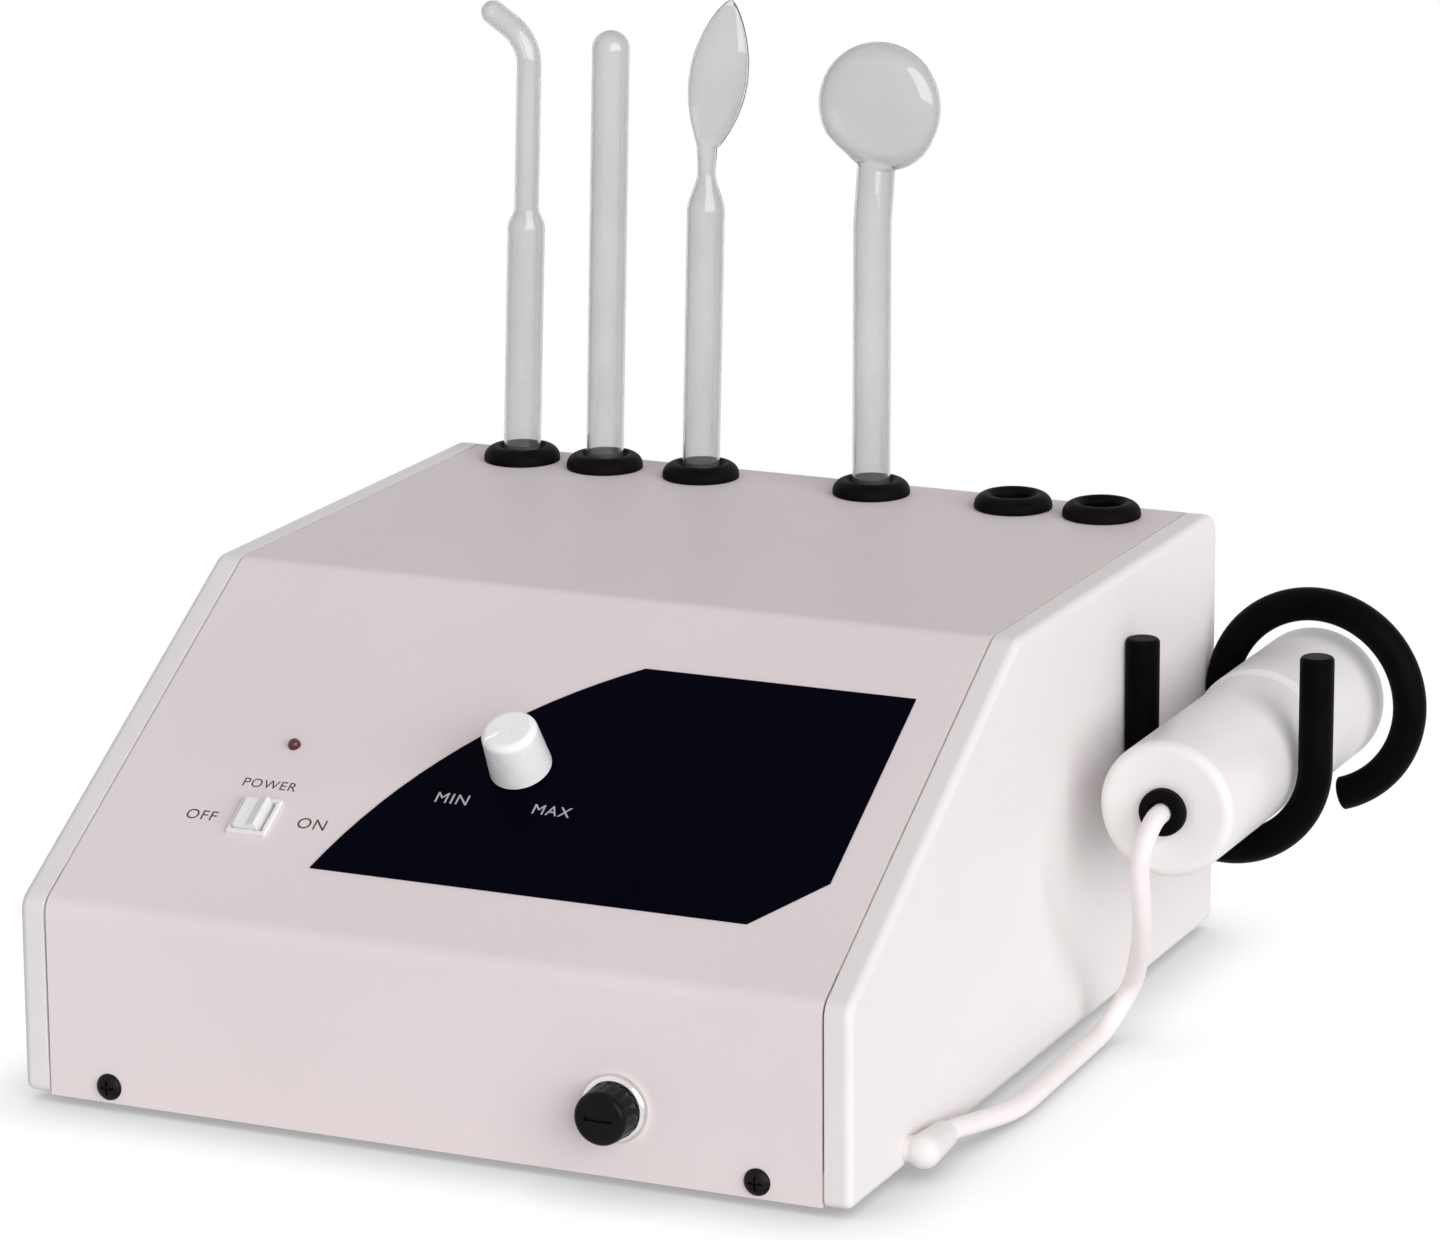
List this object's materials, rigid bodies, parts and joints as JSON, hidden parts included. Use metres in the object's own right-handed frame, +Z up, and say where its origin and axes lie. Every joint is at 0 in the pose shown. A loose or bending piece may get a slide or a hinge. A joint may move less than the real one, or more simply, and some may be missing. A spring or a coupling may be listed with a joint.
{
  "type": "violet ray machine",
  "caption": "Tabletop high-frequency violet ray unit: sloped console with dial knob and rocker, glass electrodes standing in rubber sockets, corded handpiece lying in rod hooks.",
  "frame": {"origin": "centre of the base underside, above the rubber feet", "axes": "+X right, towards the cheek with the hooks; +Y back; +Z up"},
  "size_m": [0.3052, 0.2846, 0.2652],
  "materials": {
    "white_steel": "satin powder coat",
    "cheek_plastic": "fine moulded grain",
    "foot_rubber": "matte",
    "plated_steel": "bright plated",
    "black_screw": "black oxide",
    "socket_rubber": "satin",
    "fascia_print": "printed film",
    "switch_white": "gloss",
    "lamp_red": "clear tinted",
    "black_plastic": "satin",
    "control_case": "pressed",
    "knob_white": "satin gloss",
    "chrome_ring": "polished",
    "fuse_glass": "clear with plated ends",
    "board_green": "solder mask",
    "post_brass": "turned",
    "core_steel": "varnished laminations",
    "winding_copper": "enamelled wire",
    "hook_coating": "satin dipped coating",
    "cord_white": "satin",
    "handle_white": "satin",
    "handle_rubber": "matte",
    "former_plastic": "phenolic",
    "electrode_glass": "clear blown glass",
    "electrode_cap": "nickel plated"
  },
  "bodies": {
    "console": {"chassis": "white_steel", "cover": "white_steel", "left_cheek": "cheek_plastic", "right_cheek": "cheek_plastic", "rubber_feet": "foot_rubber", "base_screws": "plated_steel", "inlet_screws": "plated_steel", "hook_screws": "plated_steel", "potentiometer_nut": "plated_steel", "cover_screws": "black_screw", "socket_1": "socket_rubber", "socket_2": "socket_rubber", "socket_3": "socket_rubber", "socket_4": "socket_rubber", "socket_5": "socket_rubber", "socket_6": "socket_rubber", "fascia": "fascia_print", "switch_frame": "switch_white", "power_lamp": "lamp_red", "lamp_clip": "black_plastic", "fuse_holder": "black_plastic", "mains_inlet": "black_plastic", "potentiometer": "control_case", "fuse_ring": "chrome_ring", "circuit_board": "board_green", "board_posts": "post_brass", "transformer_core": "core_steel", "transformer_winding": "winding_copper", "near_hook": "hook_coating", "far_hook": "hook_coating", "cord_elbow": "cord_white", "handpiece_cord": "cord_white"},
    "knob": {"knob": "knob_white", "knob_shaft": "plated_steel"},
    "rocker": {"rocker": "switch_white"},
    "fuse_cap": {"fuse_cap": "black_plastic", "fuse": "fuse_glass"},
    "handpiece": {"grip_shell": "handle_white", "head_shell": "handle_white", "strain_relief": "handle_rubber", "electrode_chuck": "handle_rubber", "coil_former": "former_plastic", "coil_winding": "winding_copper"},
    "bent_electrode": {"bent_glass": "electrode_glass", "bent_cap": "electrode_cap"},
    "rod_electrode": {"rod_glass": "electrode_glass", "rod_cap": "electrode_cap"},
    "leaf_electrode": {"leaf_glass": "electrode_glass", "leaf_cap": "electrode_cap"},
    "mushroom_electrode": {"mushroom_glass": "electrode_glass", "mushroom_cap": "electrode_cap"}
  },
  "joints": [
    {"name": "knob_turn", "type": "hinge", "parent": "console", "child": "knob", "pos_m": [0.001, -0.07646, 0.08782], "axis": [0, 0.5123, -0.8588], "range_deg": [0, 270]},
    {"name": "rocker_tilt", "type": "hinge", "parent": "console", "child": "rocker", "pos_m": [-0.066, -0.10032, 0.07219], "axis": [0, 0.8588, 0.5123], "range_deg": [0, 20]},
    {"name": "fuse_pull", "type": "slide", "parent": "console", "child": "fuse_cap", "axis": [0, -1, 0], "range_m": [0, 0.04]},
    {"name": "bent_lift", "type": "slide", "parent": "console", "child": "bent_electrode", "axis": [0.0349, 0, 0.9994], "range_m": [0, 0.05]},
    {"name": "rod_lift", "type": "slide", "parent": "console", "child": "rod_electrode", "axis": [0.0279, 0, 0.9996], "range_m": [0, 0.05]},
    {"name": "leaf_lift", "type": "slide", "parent": "console", "child": "leaf_electrode", "axis": [0.0279, 0, 0.9996], "range_m": [0, 0.05]},
    {"name": "mushroom_lift", "type": "slide", "parent": "console", "child": "mushroom_electrode", "axis": [0.0052, 0, 1], "range_m": [0, 0.05]},
    {"name": "handpiece_draw", "type": "slide", "parent": "console", "child": "handpiece", "axis": [0, -0.9962, 0.0872], "range_m": [0, 0.09], "deforming": ["handpiece_cord"]}
  ]
}
